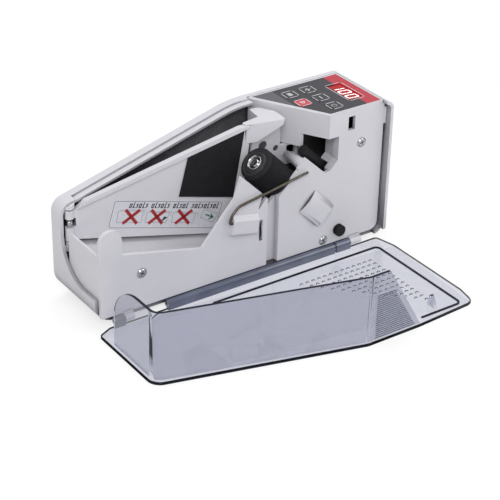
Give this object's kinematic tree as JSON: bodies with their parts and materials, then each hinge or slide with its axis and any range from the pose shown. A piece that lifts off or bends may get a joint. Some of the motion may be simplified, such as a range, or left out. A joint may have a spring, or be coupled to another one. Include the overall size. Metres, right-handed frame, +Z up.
{
  "type": "banknote counting machine",
  "caption": "Portable banknote counter with a sloping note hopper, angled feed roller, keypad with display, and a clear lid that swings down in front.",
  "frame": {"origin": "bottom centre of the whole machine with its lid laid open, on the table", "axes": "+X along the case from the hopper end to the keypad end, +Y from the open lid to the back, +Z up"},
  "size_m": [0.2234, 0.1564, 0.1047],
  "materials": {
    "case_plastic": "fine satin moulded plastic",
    "floor_gloss": "polished",
    "black_plastic": "moulded",
    "membrane": "satin printed film",
    "display_red": "tinted clear plastic",
    "circuit_board": "solder mask",
    "red_key": "satin printed film",
    "black_rubber": "ribbed and smooth rubber",
    "grey_rubber": "soft rubber",
    "label_film": "printed film",
    "steel": "bright",
    "chrome": "polished",
    "wire_steel": "drawn wire",
    "bronze": "sintered",
    "pulley_plastic": "moulded acetal",
    "cell_skin": "printed sleeve",
    "clear_lid": "smoky clear plastic"
  },
  "bodies": {
    "case": {"rear_shell": "case_plastic", "front_panel": "case_plastic", "hopper_wall": "case_plastic", "hopper_floor": "floor_gloss", "guide_plate": "case_plastic", "drive_frame": "black_plastic", "control_cap": "case_plastic", "control_membrane": "membrane", "display_window": "display_red", "display_module": "black_plastic", "control_board": "circuit_board", "key_switches": "black_plastic", "presser_pin": "steel", "shaft_bearings": "bronze", "motor_body": "steel", "drive_belt": "black_rubber", "transfer_belt": "black_rubber", "note_sensors": "black_plastic", "wire_bracket": "case_plastic", "guide_leaf": "steel", "rubber_stud": "black_rubber", "panel_screws": "chrome", "rubber_feet": "grey_rubber", "battery_cells": "cell_skin", "battery_contacts": "steel", "dc_jack": "black_plastic", "hinge_pin_left": "steel", "hinge_pin_right": "steel"},
    "lid": {"lid": "clear_lid", "lid_grip": "clear_lid"},
    "presser": {"presser_plate": "case_plastic", "presser_pad": "black_rubber", "presser_label": "label_film", "presser_spring": "steel"},
    "feed_roller": {"feed_tyre": "black_rubber", "feed_hub": "black_plastic", "feed_screw": "chrome", "feed_shaft": "steel", "feed_pulley": "pulley_plastic"},
    "exit_roller": {"exit_roller": "black_rubber", "exit_shaft": "steel", "exit_pulley": "pulley_plastic"},
    "motor_rotor": {"motor_shaft": "steel", "motor_pulley": "pulley_plastic"},
    "guide_wire": {"guide_wire": "wire_steel"},
    "battery_door": {"battery_door": "case_plastic"},
    "key_mode": {"key_mode": "membrane"},
    "key_up": {"key_up": "membrane"},
    "key_down": {"key_down": "membrane"},
    "key_set": {"key_set": "membrane"},
    "key_start": {"key_start": "red_key"}
  },
  "joints": [
    {"name": "lid_hinge", "type": "hinge", "parent": "case", "child": "lid", "pos_m": [0, 0.02275, 0.006], "axis": [-1, 0, 0], "range_deg": [0, 90]},
    {"name": "presser_pivot", "type": "hinge", "parent": "case", "child": "presser", "pos_m": [-0.10365, 0.06715, 0.055], "axis": [0, 0, 1], "range_deg": [0, 1.5], "stiffness_Nm_per_rad": 0.3, "springref_deg": -8.59},
    {"name": "feed_roller_spin", "type": "hinge", "parent": "case", "child": "feed_roller", "pos_m": [0.02093, 0.03475, 0.07107], "axis": [0.7071, 0, -0.7071], "continuous": true},
    {"name": "exit_roller_spin", "type": "hinge", "parent": "case", "child": "exit_roller", "pos_m": [0.06188, 0.03575, 0.06675], "axis": [0.7071, 0, -0.7071], "continuous": true},
    {"name": "motor_spin", "type": "hinge", "parent": "case", "child": "motor_rotor", "pos_m": [0.0577, 0.06315, 0.05409], "axis": [0.7071, 0, -0.7071], "continuous": true},
    {"name": "wire_swing", "type": "hinge", "parent": "case", "child": "guide_wire", "pos_m": [-0.00306, 0.02135, 0.04697], "axis": [0.9781, 0, -0.2079], "range_deg": [0, 2], "stiffness_Nm_per_rad": 0.004, "springref_deg": -17.19},
    {"name": "battery_door_pull", "type": "slide", "parent": "case", "child": "battery_door", "axis": [0, 1, 0], "range_m": [0, 0.015]},
    {"name": "key_mode_press", "type": "slide", "parent": "case", "child": "key_mode", "axis": [0, 0, -1], "range_m": [0, 0.0006], "stiffness_N_per_m": 400},
    {"name": "key_up_press", "type": "slide", "parent": "case", "child": "key_up", "axis": [0, 0, -1], "range_m": [0, 0.0006], "stiffness_N_per_m": 400},
    {"name": "key_down_press", "type": "slide", "parent": "case", "child": "key_down", "axis": [0, 0, -1], "range_m": [0, 0.0006], "stiffness_N_per_m": 400},
    {"name": "key_set_press", "type": "slide", "parent": "case", "child": "key_set", "axis": [0, 0, -1], "range_m": [0, 0.0006], "stiffness_N_per_m": 400},
    {"name": "key_start_press", "type": "slide", "parent": "case", "child": "key_start", "axis": [0, 0, -1], "range_m": [0, 0.0006], "stiffness_N_per_m": 400}
  ],
  "couplings": [
    {"joint": "exit_roller_spin", "follows": "feed_roller_spin", "ratio": 1.5556},
    {"joint": "motor_spin", "follows": "feed_roller_spin", "ratio": 2.3333}
  ]
}
